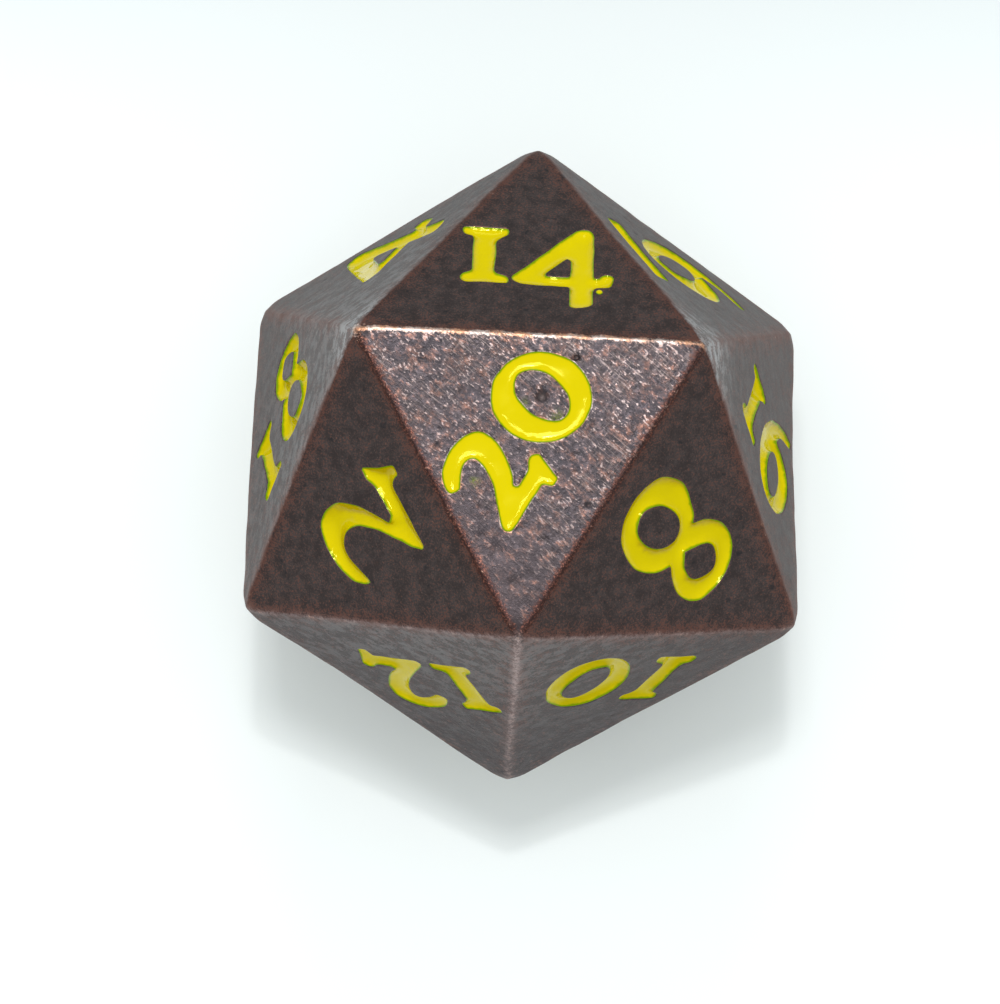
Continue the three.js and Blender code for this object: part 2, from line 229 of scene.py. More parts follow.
FIGURES = {
    "zero": [oval(1.72, 1.83, 1.7, 1.88, 30), oval(1.79, 1.84, 0.79, 1.19, -8)],
    "one": [
        contour([
            [(0.08, 3.25)],
            [(1.7, 3.25)],
            [(1.8, 3.1), (1.74, 2.86), (1.55, 2.76), (1.33, 2.5)],
            [(1.29, 0.95)],
            [(1.34, 0.6), (1.7, 0.44), (1.86, 0.28), (1.84, 0.02)],
            [(0.95, 0.05), (0.2, 0.02)],
            [(0.02, 0.2), (0.12, 0.5), (0.42, 0.66), (0.46, 0.95)],
            [(0.46, 2.45)],
            [(0.4, 2.75), (0.12, 2.86), (0.02, 3.08), (0.08, 3.25)],
        ])
    ],
    "two": [
        contour([
            [(0.63, 2.83), (1.13, 2.96), (1.5, 2.9), (1.77, 2.6),
             (1.76, 2.05), (1.23, 1.28), (0.39, 0.51), (0.02, 0.1)],
            [(0.08, 0)],
            [(2.25, 0.01)],
            [(2.4, -0.15), (2.43, -0.38)],
            [(2.76, -0.38)],
            [(2.88, 0), (3.22, 0.8)],
            [(2.83, 0.83)],
            [(2.66, 0.72), (2.4, 0.63), (1.45, 0.58)],
            [(1.28, 0.82)],
            [(1.64, 1.1), (2.42, 1.82), (2.74, 2.59), (2.48, 3.33),
             (1.64, 3.58), (0.63, 3.37), (0.12, 2.92), (0.04, 2.6)],
        ])
    ],
    "twoHeavy": [
        contour([
            [(0.97, 2.81), (1.4, 2.88), (1.67, 2.6), (1.44, 1.89),
             (0.71, 1.05), (0.02, 0.39), (0.02, 0.1), (0.2, 0.02)],
            [(2.15, 0.02)],
            [(2.31, -0.37)],
            [(2.66, -0.38)],
            [(2.86, 0.21), (3.07, 0.72)],
            [(2.85, 0.92), (2.6, 0.9), (2.3, 0.73), (1.63, 0.71)],
            [(1.52, 0.9)],
            [(2.02, 1.31), (2.57, 2.26), (2.55, 3.1), (1.71, 3.57), (0.63, 3.44),
             (0.07, 2.82), (0.38, 2.5)],
        ])
    ],
    "three": [
        contour([
            [(0.35, 3.2), (1.3, 3.57), (2.2, 3.35), (2.45, 2.6), (1.95, 1.85)],
            [(2.6, 1.2), (2.75, 0.2), (2.2, -0.95), (1.1, -1.5), (0.2, -1.42), (0, -1.1),
             (0.25, -0.9)],
            [(1.1, -0.82), (1.75, -0.2), (1.8, 0.6), (1.3, 1.15), (0.75, 1.25)],
            [(0.78, 1.68)],
            [(1.35, 1.95), (1.62, 2.5), (1.3, 2.95), (0.75, 2.88), (0.45, 2.62), (0.15, 2.75)],
        ])
    ],
    "four": [
        contour([
            [(2.43, 3.18), (2.7, 3.28), (2.98, 3.2), (3.12, 2.9)],
            [(3.11, 0.4)],
            [(3.3, 0.38)],
            [(3.42, 0.57), (3.63, 0.63), (3.86, 0.52), (3.84, 0.2), (3.74, -0.1)],
            [(3.15, -0.19)],
            [(3.09, -0.4)],
            [(3.08, -1.15)],
            [(2.88, -1.31), (2.48, -1.39), (2.26, -1.34), (2.21, -1.15)],
            [(2.21, -0.13)],
            [(0.38, -0.08)],
            [(0.08, 0.08), (0, 0.28), (0.16, 0.5)],
            [(2.22, 2.96)],
        ]),
        contour([[(2.24, 0.42)], [(1.3, 0.4)], [(1.27, 0.58)], [(2.1, 1.57)], [(2.27, 1.42)]]),
    ],
    "five": [
        contour([
            [(0.6, 3.42)],
            [(2.15, 3.42)],
            [(2.62, 3.6)],
            [(2.45, 2.72)],
            [(0.95, 2.72)],
            [(0.88, 2.1)],
            [(1.6, 2.05), (2.45, 1.45), (2.65, 0.4), (2.05, -0.9), (0.9, -1.53), (0.12, -1.5),
             (0.05, -1.12)],
            [(0.95, -0.85), (1.65, -0.05), (1.6, 0.95), (0.95, 1.38), (0.28, 1.3)],
        ])
    ],
    "six": SIX,
    "seven": [
        contour([
            [(0.1, 3.5)],
            [(0.4, 3.36), (1.6, 3.35), (3.05, 3.35)],
            [(3.1, 3.05)],
            [(2.3, 1.3), (1.6, -0.5), (1.42, -1.4)],
            [(0.62, -1.4)],
            [(0.85, -0.5), (1.5, 1.1), (2.25, 2.55)],
            [(0.65, 2.55)],
            [(0.42, 2.5), (0.25, 2.2)],
            [(0, 2.25)],
        ])
    ],
    "eight": [
        contour([
            [(2.7, 3.04), (2.97, 3.68), (2.62, 4.43), (1.63, 4.71),
             (0.68, 4.38), (0.26, 3.58), (0.49, 2.87), (0.87, 2.5)],
            [(0.5, 2.22), (0.01, 1.25), (0.38, 0.33), (1.55, 0),
             (2.64, 0.39), (3.11, 1.35), (2.9, 2.2), (2.36, 2.66)],
        ]),
        contour([[(2.18, 3.22), (2.25, 3.75), (1.6, 4.21), (1.04, 3.75), (1.2, 3.28), (1.74, 2.83)]]),
        oval(1.61, 1.41, 0.7, 0.86, 12),
    ],
    "nine": [np.array([3.45, 3.55]) - ring for ring in SIX],
}


def resampled(ring, step):
    """The ring again, in even steps of about this length."""
    closed = np.vstack([ring, ring[:1]])
    length = np.r_[0, np.cumsum(np.linalg.norm(np.diff(closed, axis=0), axis=1))]
    count = max(12, round(length[-1] / step))
    at = np.arange(count) / count * length[-1]
    return np.column_stack([np.interp(at, length, closed[:, k]) for k in (0, 1)])


def softened(ring, seed):
    """The ring as it was cast: a little uneven, with its corners slightly rounded, in even steps."""
    ring = resampled(ring, FINE_STEP)
    uneven = [noise.noise_vector(Vector((x, y, seed * 3.7)) * 1.7)[:2] for x, y in ring]
    ring = ring + np.array(uneven) * UNEVENNESS
    for _ in range(ROUNDINGS):
        ring = (np.roll(ring, 1, 0) + 2 * ring + np.roll(ring, -1, 0)) / 4
    return resampled(ring, RING_STEP)


def turned(ring, anticlockwise):
    """The ring, reversed if it runs the other way round."""
    x, y = ring.T
    area = (x * np.roll(y, -1) - y * np.roll(x, -1)).sum()
    return ring if (area > 0) == anticlockwise else ring[::-1]


def moved(ring, distance):
    """The ring moved to the left of its direction, which is into the figure."""
    ahead = np.roll(ring, -1, 0) - ring
    left = unit(np.column_stack([-ahead[:, 1], ahead[:, 0]]))
    mean = left + np.roll(left, 1, 0)
    reach = np.minimum(2 / (mean**2).sum(1), CORNER_REACH)
    return ring + mean * (distance * reach)[:, None]


def engravings(number):
    """The names and rings of everything engraved on a face, the outline first."""
    size, figures = NUMBERS[number]
    label = f"{number:02d}"
    names = [label] if len(figures) == 1 else [f"{label}_tens", f"{label}_units"]
    found = []
    for name, (figure, left, baseline) in zip(names, figures):
        found.append((name, [ring * size + (left, baseline) for ring in FIGURES[figure]]))
    if number in UNDERLINES:
        left, right, bottom, top = UNDERLINES[number]
        bar = np.array([(left, bottom), (right, bottom), (right, top), (left, top)], float)
        found.append((f"{label}_underline", [bar]))
    return [
        (name, [turned(softened(ring, number), i == 0) for i, ring in enumerate(rings)])
        for name, rings in found
    ]


ENGRAVINGS = {number: engravings(number) for number in FACES}


def engraved_rings(number):
    """All the rings on a face, without their names."""
    return [ring for _, figure in ENGRAVINGS[number] for ring in figure]


# ------------------------------ flat triangulation


def inside(points, loops):
    """Whether each point is inside an odd number of the loops."""
    odd = np.zeros(len(points), bool)
    for loop in loops:
        a, b = loop, np.roll(loop, -1, 0)
        x, y = points[:, :1], points[:, 1:]
        crosses = (a[:, 1] > y) != (b[:, 1] > y)
        rise = np.where(np.abs(b[:, 1] - a[:, 1]) < 1e-12, 1e-12, b[:, 1] - a[:, 1])
        at = a[:, 0] + (y - a[:, 1]) * (b[:, 0] - a[:, 0]) / rise
        odd ^= (crosses & (x < at)).sum(1) % 2 == 1
    return odd


def wall_distance(points, loops):
    """The distance from each point to the nearest of the loops' sides."""
    nearest = np.full(len(points), 1e9)
    for loop in loops:
        a, side = loop, np.roll(loop, -1, 0) - loop
        t = ((points[:, None] - a) * side).sum(2) / (side**2).sum(1)
        foot = a + np.clip(t, 0, 1)[..., None] * side
        nearest = np.minimum(nearest, np.linalg.norm(points[:, None] - foot, axis=2).min(1))
    return nearest


def soft_distance(points, loops):
    """Like the distance from the loops, but smooth where two of their sides are equally near."""
    total = np.zeros(len(points))
    for loop in loops:
        fine = resampled(loop, 0.02)
        step = np.linalg.norm(np.roll(fine, -1, 0) - fine, axis=1)
        squared = ((points[:, None] - fine) ** 2).sum(2) + 1e-6
        total += (step / squared**2).sum(1)
    # Beside a long straight side the total is pi / 2 over the distance cubed.
    return (total * 2 / math.pi) ** (-1 / 3)


def triangulated(loops, extra):
    """Triangles, anticlockwise, over the odd-even inside of the loops: indices into loops + extra."""
    # Four far points, so that no loop's side lies on the outside of the triangulation.
    far = [(-99, -99), (99, -99), (99, 99), (-99, 99)]
    points = np.vstack([*loops, extra, far])
    edges = []
    start = 0
    for loop in loops:
        count = len(loop)
        edges += [(start + i, start + (i + 1) % count) for i in range(count)]
        start += count
    made = delaunay_2d_cdt([Vector(p) for p in points], edges, [], 0, 1e-7, True)
    source = [ids[0] if len(ids) else -1 for ids in made[3]]
    assert min(source) >= 0, "two loops cross"
    triangles = np.array([[source[v] for v in face] for face in made[2]])
    return triangles[inside(points[triangles].mean(1), loops)]


def lattice(low, high, step):
    """Points of a triangular lattice over a box, a little strewn."""
    rows = np.arange(low[1], high[1], step * math.sqrt(3) / 2)
    columns = np.arange(low[0], high[0], step)
    x, y = np.meshgrid(columns, rows)
    x = x + (np.arange(len(rows)) % 2)[:, None] * step / 2
    points = np.column_stack([x.ravel(), y.ravel()])
    return points + rng.uniform(-JITTER, JITTER, points.shape) * step


# ------------------------------ the shape of the casting

# Long waves that bend the whole casting a little, enamel and metal alike: each one's direction and
# length, how far it moves the casting, and where it starts.
WAVES = [
    (unit(rng.normal(size=3)) * 2 * math.pi / length, unit(rng.normal(size=3)) * size, phase)
    for length, size, phase in zip(
        rng.uniform(6, 14, 14), rng.uniform(0.006, 0.014, 14), rng.uniform(0, 6.28, 14)
    )
]

# How far some corners of the casting stand from where they should be, and how widely that is felt.
STRAYS = {
    "upperBack": (0.14, 0.06, 0),
    "upperRight": (0.24, 0.02, 0),
    "lowerRight": (0.05, -0.02, 0),
    "lowerFront": (-0.07, -0.09, 0),
    "upperLeft": (0.04, -0.14, 0),
    "lowerLeft": (0.03, -0.01, 0),
}
STRAY_REACH = 5


def bent(points):
    """Points of the perfect die, moved to where the casting has them."""
    moved_by = sum(np.sin(points @ way + phase)[:, None] * size for way, size, phase in WAVES)
    for name, stray in STRAYS.items():
        d = np.linalg.norm(points - CORNERS[name], axis=1)
        moved_by = moved_by + np.exp(-((d / STRAY_REACH) ** 2))[:, None] * stray
    return points + moved_by


# Pits on each face: x, y, radius and depth. Two that overlap make the crater inside the 0 of face 20,
# and two more the deep pit beside it. Many more are scattered at random.
PITS = {
    20: [
        (1.5, 0.24, 0.5, 0.035), (1.56, 0.3, 0.3, 0.045),
        (3.5, -0.02, 0.2, 0.09), (3.3, 0.12, 0.16, 0.06),
        (-0.96, -3.38, 0.22, 0.05), (0.4, -1.98, 0.15, 0.025), (1.82, -1.89, 0.2, 0.025),
        (-0.2, -2.28, 0.15, 0.02), (5.17, -1.77, 0.2, 0.045), (4.24, 0.05, 0.2, 0.035),
        (-2.1, 2.6, 0.2, 0.03),
    ],
    14: [(0.6, 2.9, 0.2, 0.03)],
}
SCATTERED = {20: 44}
SCATTERED_ELSEWHERE = 12
for number in FACES:
    scattered = [
        (*rng.uniform(-4.6, 4.6, 2), rng.uniform(0.1, 0.2), rng.uniform(0.005, 0.02))
        for _ in range(SCATTERED.get(number, SCATTERED_ELSEWHERE))
    ]
    PITS[number] = PITS.get(number, []) + scattered
# Wide shallow dents, so that the polished face isn't flat.
PITS[20] += [
    (*rng.uniform(-5, 5, 2), rng.uniform(0.25, 0.5), rng.uniform(0.01, 0.035)) for _ in range(60)
]


def dented(number, points):
    """How far the face is below its plane at these points."""
    depth = np.zeros(len(points))
    for x, y, radius, deep in PITS[number]:
        r = np.hypot(points[:, 0] - x, points[:, 1] - y) / radius
        depth += deep * np.where(r < 1, (1 - r**2) ** 2, 0)
    return depth


class Shell:
    """Points and triangles gathered from many patches."""

    def __init__(self):
        self.points, self.triangles, self.count = [], [], 0

    def add(self, points, triangles):
        self.points.append(points)
        self.triangles.append(np.asarray(triangles) + self.count)
        self.count += len(points)

    def welded(self):
        """One mesh, in which the patches share the points where they meet."""
        points = np.vstack(self.points)
        triangles = np.vstack(self.triangles)
        _, first, place = np.unique(
            np.round(points / WELD).astype(np.int64), axis=0, return_index=True, return_inverse=True
        )
        triangles = place.ravel()[triangles]
        whole = (triangles != np.roll(triangles, 1, 1)).all(1)
        return points[first], triangles[whole]


def band(upper, lower, count):
    """Triangles between two rings of the same length, seen from the left of their direction."""
    i = np.arange(count)
    j = (i + 1) % count
    return np.vstack([
        np.column_stack([upper + i, upper + j, lower + j]),
        np.column_stack([upper + i, lower + j, lower + i]),
    ])


def facing(triangles, points, outward):
    """The triangles of a patch, turned over if they face the other way."""
    a, b, c = points[triangles[0]]
    return triangles if np.cross(b - a, c - a) @ outward > 0 else triangles[:, ::-1]


def slerp(a, b, t):
    """Directions on the arc from a to b."""
    angle = math.acos(max(-1.0, min(1.0, float(a @ b))))
    t = np.atleast_1d(t)[:, None]
    return (np.sin((1 - t) * angle) * a + np.sin(t * angle) * b) / math.sin(angle)


# The rounded lip of a pocket: how far outside the figure, and how deep. It is wider on face 20.
LIP = [(0.05, 0), (0.026, 0.006), (0.008, 0.02), (0, 0.045)]
TOP_LIP_WIDTH = 1.6
# How much narrower a pocket is at its floor, on each side.
POCKET_DRAFT = 0.02
# The faces' flat parts, and the lines that the edges are rounded about, are this much of the sharp size.
FLAT = (INRADIUS - EDGE_RADIUS) / INRADIUS
# How far from the lips and from the border a face's mesh has rows of points.
LIP_ROW = 0.05
BORDER_ROWS = (0.08, 0.19)
# How far the points in the pits stay from the lips and from the border.
PIT_MARGINS = (0.12, 0.25)


def add_face(shell, number):
    """A face with its pits, and its pockets down to their floors."""
    widening = TOP_LIP_WIDTH if number == 20 else 1
    lip = [(out * widening, deep) for out, deep in LIP]
    middle, axes = AXES[number]
    corners = np.array([((CORNERS[name] - middle) @ axes.T * FLAT)[:2] for name in FACES[number]])
    corners = turned(corners, True)
    steps = np.arange(EDGE_STEPS)[:, None] / EDGE_STEPS
    border = np.vstack([a + (b - a) * steps for a, b in zip(corners, np.roll(corners, -1, 0))])

    # The mesh has rows of points beside the lips and the border, a lattice between them, and more
    # points in the pits.
    out = lip[0][0]
    rings = engraved_rings(number)
    lips = [moved(ring, -out) for ring in rings]
    loops = [border, *lips]
    beside = np.vstack([moved(ring, -out - LIP_ROW) for ring in rings])
    beside = beside[wall_distance(beside, lips) > 0.7 * LIP_ROW]
    centre = corners.mean(0)
    rows = [centre + (border - centre) * (1 - gap / 3) for gap in BORDER_ROWS]
    step = TOP_FACE_STEP if number == 20 else FACE_STEP
    grid = lattice(corners.min(0), corners.max(0), step)
    grid = grid[inside(grid, loops)]
    grid = grid[wall_distance(grid, [border]) > BORDER_ROWS[-1] + step * 0.45]
    grid = grid[wall_distance(grid, lips) > LIP_ROW + step * 0.4]
    pits = np.array([
        (x + r * ring * math.cos(a), y + r * ring * math.sin(a))
        for x, y, r, _ in PITS[number]
        for ring in (0.0, 0.3, 0.6, 0.9)
        for a in np.linspace(0, 6.28, 1 if ring == 0 else 8, endpoint=False) + ring
    ])
    pits = pits[inside(pits, loops) & (wall_distance(pits, lips) > PIT_MARGINS[0])]
    pits = pits[wall_distance(pits, [border]) > PIT_MARGINS[1]]
    extra = np.vstack([beside, *rows, grid, pits])
    flat = np.vstack([*loops, extra])
    triangles = triangulated(loops, extra)
    # The pits fade out towards the border, so that the edges stay whole.
    depth = dented(number, flat) * np.clip((wall_distance(flat, [corners]) - 0.05) / 0.3, 0, 1)
    shell.add(from_face(number, np.column_stack([flat, -depth])), triangles)

    levels = [(-out, -deep) for out, deep in lip] + [(POCKET_DRAFT, -POCKET_DEPTH)]
    for _, figure in ENGRAVINGS[number]:
        floor_rings = []
        for ring in figure:
            count = len(ring)
            points = []
            for level, (into, height) in enumerate(levels):
                loop = moved(ring, into)
                drop = dented(number, loop) if level == 0 else np.zeros(count)
                points.append(np.column_stack([loop, height - drop]))
            walls = [band(k * count, (k + 1) * count, count) for k in range(len(levels) - 1)]
            shell.add(from_face(number, np.vstack(points)), np.vstack(walls))
            floor_rings.append(moved(ring, levels[-1][0]))
        floor = np.vstack(floor_rings)
        height = np.full(len(floor), -POCKET_DEPTH)
        shell.add(
            from_face(number, np.column_stack([floor, height])),
            triangulated(floor_rings, np.empty((0, 2))),
        )


def add_edge(shell, first, second, normals):
    """The round of an edge, between two corners and two faces."""
    along = np.linspace(0, 1, EDGE_STEPS + 1)[:, None]
    line = (CORNERS[first] * (1 - along) + CORNERS[second] * along) * FLAT
    round_ = slerp(*normals, np.linspace(0, 1, FILLET_STEPS + 1)) * EDGE_RADIUS
    points = (line[:, None] + round_[None]).reshape(-1, 3)
    width = FILLET_STEPS + 1
    triangles = []
    for i in range(EDGE_STEPS):
        for j in range(FILLET_STEPS):
            a = i * width + j
            triangles += [(a, a + 1, a + width + 1), (a, a + width + 1, a + width)]
    shell.add(points, facing(np.array(triangles), points, normals[0]))


def add_corner(shell, name, pairs):
    """The round of a corner: a fan of five spherical triangles."""
    centre = CORNERS[name] * FLAT
    tip = unit(CORNERS[name])
    for one, other in pairs:
        rows = [tip[None]]
        for k in range(1, FILLET_STEPS + 1):
            a = slerp(tip, one, k / FILLET_STEPS)[0]
            b = slerp(tip, other, k / FILLET_STEPS)[0]
            rows.append(slerp(a, b, np.linspace(0, 1, k + 1)))
        start = np.r_[0, np.cumsum([len(row) for row in rows])]
        triangles = []
        for k in range(FILLET_STEPS):
            for j in range(k + 1):
                a, b = start[k] + j, start[k + 1] + j
                triangles.append((a, b, b + 1))
                if j < k:
                    triangles.append((a, b + 1, a + 1))
        points = centre + np.vstack(rows) * EDGE_RADIUS
        shell.add(points, facing(np.array(triangles), points, tip))


def shared_edges():
    """Every edge: its two corners and the outward directions of its two faces."""
    owners = {}
    for number, names in FACES.items():
        for i in range(3):
            key = tuple(sorted((names[i], names[(i + 1) % 3])))
            owners.setdefault(key, []).append(AXES[number][1][2])
    return owners


EDGES = shared_edges()

# ------------------------------ wear

# The ruddy edges beside face 20.
SEAMS = (("topFront", "topLeft"), ("topFront", "topRight"))
# How worn each edge is at its first and its second corner; the edges not named are worn less.
WEAR = {("topLeft", "topRight"): (1.0, 0.8), **dict.fromkeys(SEAMS, (0.24, 0.24))}
WEAR_ELSEWHERE = (0.2, 0.2)
CORNER_WEAR = {"topLeft": 0.8, "topRight": 0.55, "topFront": 0.35}
CORNER_WEAR_ELSEWHERE = 0.2
# Thin smears of enamel on face 20: x, y and radius.
STAINS = [(1.0, 0.72, 0.13), (1.22, -0.62, 0.2), (0.95, -0.5, 0.12), (-2.45, 0.7, 0.13)]
# Edges rubbed to a dull grey instead: how much at the first and the second corner, and how widely.
DULLED = {
    ("lowerFront", "topFront"): (0.3, 1.0, 0.15),
    ("topFront", "upperLeft"): (0.4, 0.3, 0.13),
    ("topFront", "upperRight"): (0.3, 0.25, 0.12),
}
# How far from the edges, the corners and the pockets' lips each kind of wear reaches.
WORN_REACH = 0.14
RUDDY_REACH = 0.4
SEAM_REACH = 0.22
CORNER_WEAR_REACH = 0.4
SCUFF_REACH = 2.4
LIP_REACH = 0.07
# Where the rounded edges and corners are, in sharp distances from the middle.
ROUND_EDGE = 0.9985
ROUND_CORNER = 0.985
# How deep the knocks near the edges are, and how much the corners are blunted, and how widely.
KNOCK_DEPTH = 0.03
BLUNTING = 0.2
BLUNT_REACH = 0.85


def on_segment(points, a, b):
    """The distance of each point from a segment, and how far along it the nearest place is."""
    side = b - a
    t = np.clip((points - a) @ side / (side @ side), 0, 1)
    return np.linalg.norm(points - a - t[:, None] * side, axis=1), t


def wear_fields(points):
    """How far the casting is worn at each point, in each of the ways that its material shows, and the
    painted shade of the right-hand steep faces.
    """
    worn, ruddy, dulled, scuffs_and_shade, side, seam = np.zeros((6, len(points)))
    for key in EDGES:
        d, t = on_segment(points, *(CORNERS[name] * ROUND_EDGE for name in key))
        one, other = WEAR.get(key, WEAR_ELSEWHERE)
        worn = np.maximum(worn, (one + (other - one) * t) * np.exp(-((d / WORN_REACH) ** 2)))
        ruddy = np.maximum(ruddy, np.exp(-d / RUDDY_REACH))
        if key in SEAMS:
            seam = np.maximum(seam, np.exp(-((d / SEAM_REACH) ** 2)))
        if key in DULLED:
            one, other, width = DULLED[key]
            dulled = np.maximum(dulled, (one + (other - one) * t) * np.exp(-((d / width) ** 2)))
    for name, place in CORNERS.items():
        d = np.linalg.norm(points - place * ROUND_CORNER, axis=1)
        strength = CORNER_WEAR.get(name, CORNER_WEAR_ELSEWHERE)
        worn = np.maximum(worn, strength * np.exp(-((d / CORNER_WEAR_REACH) ** 2)))
        if name in ("topLeft", "topRight"):
            scuffs_and_shade = np.maximum(scuffs_and_shade, np.exp(-((d / SCUFF_REACH) ** 2)))
    # 1 on the plane of a face and 0 in its pockets and on the other faces.
    on_face = {}
    for number in FACES:
        middle, axes = AXES[number]
        local = (points - middle) @ axes.T
        on_face[number] = np.clip((local[:, 2] + 0.06) / 0.04, 0, 1)
        near = np.nonzero(on_face[number])[0]
        lip = wall_distance(local[near, :2], engraved_rings(number)) / LIP_REACH
        lip = np.exp(-(lip**2))
        ruddy[near] = np.maximum(ruddy[near], 0.5 * lip)
        if number == 20:
            worn[near] = np.maximum(worn[near], 0.85 * lip)
            spots = np.array(STAINS)
            away = np.linalg.norm(local[:, None, :2] - spots[:, :2], axis=2) / spots[:, 2]
            stained = on_face[20] * np.exp(-(away.min(1) ** 2))
        if abs(axes[2, 2]) < 0.5:
            side = np.maximum(side, on_face[number])
    # Face 20 is rubbed most at its upper right, and the two front faces a little, more at their feet.
    x, y, z = points.T
    rubbed = on_face[20] * np.clip(0.95 + 0.055 * x + 0.09 * y, 0.45, 1.35)
    low = np.clip(0.33 - 0.035 * z, 0.05, 0.35)
    rubbed = np.maximum(rubbed, low * np.maximum(on_face[10], on_face[12]))
    # The steep faces get light grey scuffs, more the higher up and most at two corners, and fewer further
    # right, which is painted shade: those faces mirror the die's shadow on the floor.
    height = np.clip((z + 3) / 11, 0, 1) * np.clip(1 - 0.075 * x, 0.3, 1.4)
    scuffs_and_shade = side * np.maximum(scuffs_and_shade, 0.02 + 0.24 * height)
    return {
        "worn": worn, "ruddy": ruddy, "rubbed": rubbed,
        "scuffs_and_shade": scuffs_and_shade, "dulled": dulled, "stained": stained, "seam": seam,
    }


def body_mesh():
    """The whole casting: its points, its triangles and how it is worn."""
    shell = Shell()
    for number in FACES:
        add_face(shell, number)
    for (first, second), normals in EDGES.items():
        add_edge(shell, first, second, normals)
    for name in CORNERS:
        pairs = [normals for key, normals in EDGES.items() if name in key]
        add_corner(shell, name, pairs)
    points, triangles = shell.welded()
    check_closed(triangles)
    fields = wear_fields(points)
    # Knocks near the edges, which is where the casting is ruddy, and blunted corners.
    near = fields["ruddy"] > 0.25
    knocks = np.zeros(len(points))
    knocks[near] = [noise.fractal(Vector(p) * 0.6, 0.6, 2.1, 2) for p in points[near]]
    outward = unit(points)
    drop = np.clip(knocks + 0.1, 0, 1) * KNOCK_DEPTH * np.clip((fields["ruddy"] - 0.25) / 0.5, 0, 1)
    for place in CORNERS.values():
        d = np.linalg.norm(points - place * ROUND_CORNER, axis=1)
        drop += BLUNTING * np.clip(1 - d / BLUNT_REACH, 0, 1) ** 2
    return bent(points - outward * drop[:, None]), triangles, fields


def directed_sides(triangles):
    """The sides of all triangles, as pairs of points."""
    return np.vstack([triangles[:, [0, 1]], triangles[:, [1, 2]], triangles[:, [2, 0]]])


def check_closed(triangles):
    """Stops the script unless every side of a triangle is the side of one other triangle."""
    pairs = directed_sides(triangles)
    forward = {tuple(pair) for pair in pairs}
    assert len(forward) == len(pairs), "two triangles share a directed edge"
    open_ = sum((b, a) not in forward for a, b in forward)
    assert open_ == 0, f"{open_} open edges"


def point_normals(points, triangles):
    """The outward direction at each point."""
    a, b, c = (points[triangles[:, k]] for k in range(3))
    across = np.cross(b - a, c - a)
    normals = np.zeros(points.shape)
    for k in range(3):
        np.add.at(normals, triangles[:, k], across)
    return unit(normals)


# ------------------------------ the enamel

# Stray drops of enamel beside a figure: x, y and radius on its face. They are flatter than half balls.
DROPS = {"14_units": (2.56, -1.16, 0.13)}
DROP_HEIGHT = 0.45


def drop_mesh(x, y, radius):
    """A low dome that stands on the face."""
    count = 14
    turn = np.arange(count) * 2 * math.pi / count
    circle = np.column_stack([np.cos(turn), np.sin(turn)])
    points = [np.array([[x, y, DROP_HEIGHT * radius]])]
    for tilt in (28, 56, 90):
        reach = radius * math.sin(math.radians(tilt))
        height = np.full(count, DROP_HEIGHT * radius * math.cos(math.radians(tilt)))
        points.append(np.column_stack([circle * reach + (x, y), height]))
    points.append(np.array([[x, y, -0.02]]))
    i = np.arange(count)
    j = (i + 1) % count
    top = np.column_stack([np.zeros(count, int), 1 + i, 1 + j])
    bands = [band(1 + (k + 1) * count, 1 + k * count, count) for k in (0, 1)]
    foot = 1 + 2 * count
    base = np.column_stack([np.full(count, foot + count), foot + j, foot + i])
    return np.vstack(points), np.vstack([top, *bands, base])


# Enamel is painted a browner yellow on slopes that turn away from this direction, towards the lights:
# painted shade.
ABOVE = unit(np.array([0, 0.3, 1]))
# How far the enamel reaches into the casting's walls, so that no gap shows, and the gap below it.
OVERLAP = 0.012
FLOOR_GAP = 0.01
# How far inside the figure its mesh has rings of points, and how far from the walls its lattice starts.
ENAMEL_RINGS = (0.03, 0.07, 0.13)
ENAMEL_MARGIN = 0.2
# How many times its top is smoothed.
EASINGS = 2
# How far in from its rim it is green, on a fill and on a drop.
GREEN_REACH = 0.09
DROP_GREEN_REACH = 0.04


